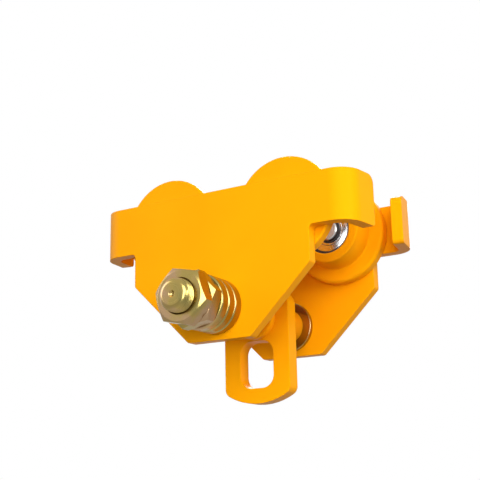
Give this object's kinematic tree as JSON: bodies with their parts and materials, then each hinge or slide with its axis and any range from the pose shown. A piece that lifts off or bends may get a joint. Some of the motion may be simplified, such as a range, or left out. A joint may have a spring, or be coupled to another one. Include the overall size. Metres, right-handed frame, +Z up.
{
  "type": "manual beam trolley",
  "caption": "Push trolley for an I-beam: bent side plates, flanged wheels on ball bearings, a suspension shaft with spacing washers and nuts, and a swinging load lug.",
  "frame": {"origin": "midway between the four wheels, at the height of the running surface under the treads", "axes": "+X along the beam, +Y across it towards the rear plate, +Z up"},
  "size_m": [0.2044, 0.194, 0.159],
  "materials": {
    "yellow_paint": "gloss enamel, brushed on",
    "yellow_zinc": "yellow-passivated zinc plate",
    "turned_steel": "bare turned steel; the riveted ends are painted over",
    "bearing_steel": "ground and polished",
    "cage_brass": "pressed",
    "spring_steel": "black oxide"
  },
  "bodies": {
    "frame": {"front_plate": "yellow_paint", "rear_plate": "yellow_paint", "suspension_shaft": "yellow_paint", "front_inner_washer": "yellow_zinc", "front_lug_collar": "yellow_paint", "front_inner_nut": "yellow_zinc", "front_outer_nut": "yellow_zinc", "rear_inner_washer": "yellow_zinc", "rear_lug_collar": "yellow_paint", "rear_inner_nut": "yellow_zinc", "rear_outer_nut": "yellow_zinc", "front_spacer_washer_1": "yellow_zinc", "front_spacer_washer_2": "yellow_zinc", "front_spacer_washer_3": "yellow_zinc", "front_left_axle": "turned_steel", "front_left_inner_ring": "bearing_steel", "front_left_axle_circlip": "spring_steel", "front_right_axle": "turned_steel", "front_right_inner_ring": "bearing_steel", "front_right_axle_circlip": "spring_steel", "rear_left_axle": "turned_steel", "rear_left_inner_ring": "bearing_steel", "rear_left_axle_circlip": "spring_steel", "rear_right_axle": "turned_steel", "rear_right_inner_ring": "bearing_steel", "rear_right_axle_circlip": "spring_steel"},
    "load_lug": {"load_lug": "yellow_paint"},
    "front_left_wheel": {"front_left_wheel": "yellow_paint", "front_left_outer_ring": "bearing_steel", "front_left_bearing_shields": "bearing_steel", "front_left_wheel_circlip": "spring_steel"},
    "front_left_ball_cage": {"front_left_balls": "bearing_steel", "front_left_ball_cage": "cage_brass"},
    "front_right_wheel": {"front_right_wheel": "yellow_paint", "front_right_outer_ring": "bearing_steel", "front_right_bearing_shields": "bearing_steel", "front_right_wheel_circlip": "spring_steel"},
    "front_right_ball_cage": {"front_right_balls": "bearing_steel", "front_right_ball_cage": "cage_brass"},
    "rear_left_wheel": {"rear_left_wheel": "yellow_paint", "rear_left_outer_ring": "bearing_steel", "rear_left_bearing_shields": "bearing_steel", "rear_left_wheel_circlip": "spring_steel"},
    "rear_left_ball_cage": {"rear_left_balls": "bearing_steel", "rear_left_ball_cage": "cage_brass"},
    "rear_right_wheel": {"rear_right_wheel": "yellow_paint", "rear_right_outer_ring": "bearing_steel", "rear_right_bearing_shields": "bearing_steel", "rear_right_wheel_circlip": "spring_steel"},
    "rear_right_ball_cage": {"rear_right_balls": "bearing_steel", "rear_right_ball_cage": "cage_brass"}
  },
  "joints": [
    {"name": "lug_swing", "type": "hinge", "parent": "frame", "child": "load_lug", "pos_m": [0, 0, -0.038], "axis": [0, 1, 0], "range_deg": [-90, 90]},
    {"name": "front_left_wheel_spin", "type": "hinge", "parent": "frame", "child": "front_left_wheel", "pos_m": [-0.046, -0.029, 0.025], "axis": [0, 1, 0], "continuous": true},
    {"name": "front_left_cage_spin", "type": "hinge", "parent": "frame", "child": "front_left_ball_cage", "pos_m": [-0.046, -0.029, 0.025], "axis": [0, 1, 0], "continuous": true},
    {"name": "front_right_wheel_spin", "type": "hinge", "parent": "frame", "child": "front_right_wheel", "pos_m": [0.046, -0.029, 0.025], "axis": [0, 1, 0], "continuous": true},
    {"name": "front_right_cage_spin", "type": "hinge", "parent": "frame", "child": "front_right_ball_cage", "pos_m": [0.046, -0.029, 0.025], "axis": [0, 1, 0], "continuous": true},
    {"name": "rear_left_wheel_spin", "type": "hinge", "parent": "frame", "child": "rear_left_wheel", "pos_m": [-0.046, 0.029, 0.025], "axis": [0, 1, 0], "continuous": true},
    {"name": "rear_left_cage_spin", "type": "hinge", "parent": "frame", "child": "rear_left_ball_cage", "pos_m": [-0.046, 0.029, 0.025], "axis": [0, 1, 0], "continuous": true},
    {"name": "rear_right_wheel_spin", "type": "hinge", "parent": "frame", "child": "rear_right_wheel", "pos_m": [0.046, 0.029, 0.025], "axis": [0, 1, 0], "continuous": true},
    {"name": "rear_right_cage_spin", "type": "hinge", "parent": "frame", "child": "rear_right_ball_cage", "pos_m": [0.046, 0.029, 0.025], "axis": [0, 1, 0], "continuous": true}
  ],
  "couplings": [
    {"joint": "front_left_cage_spin", "follows": "front_left_wheel_spin", "ratio": 0.62},
    {"joint": "front_right_cage_spin", "follows": "front_right_wheel_spin", "ratio": 0.62},
    {"joint": "rear_left_cage_spin", "follows": "rear_left_wheel_spin", "ratio": 0.62},
    {"joint": "rear_right_cage_spin", "follows": "rear_right_wheel_spin", "ratio": 0.62}
  ]
}
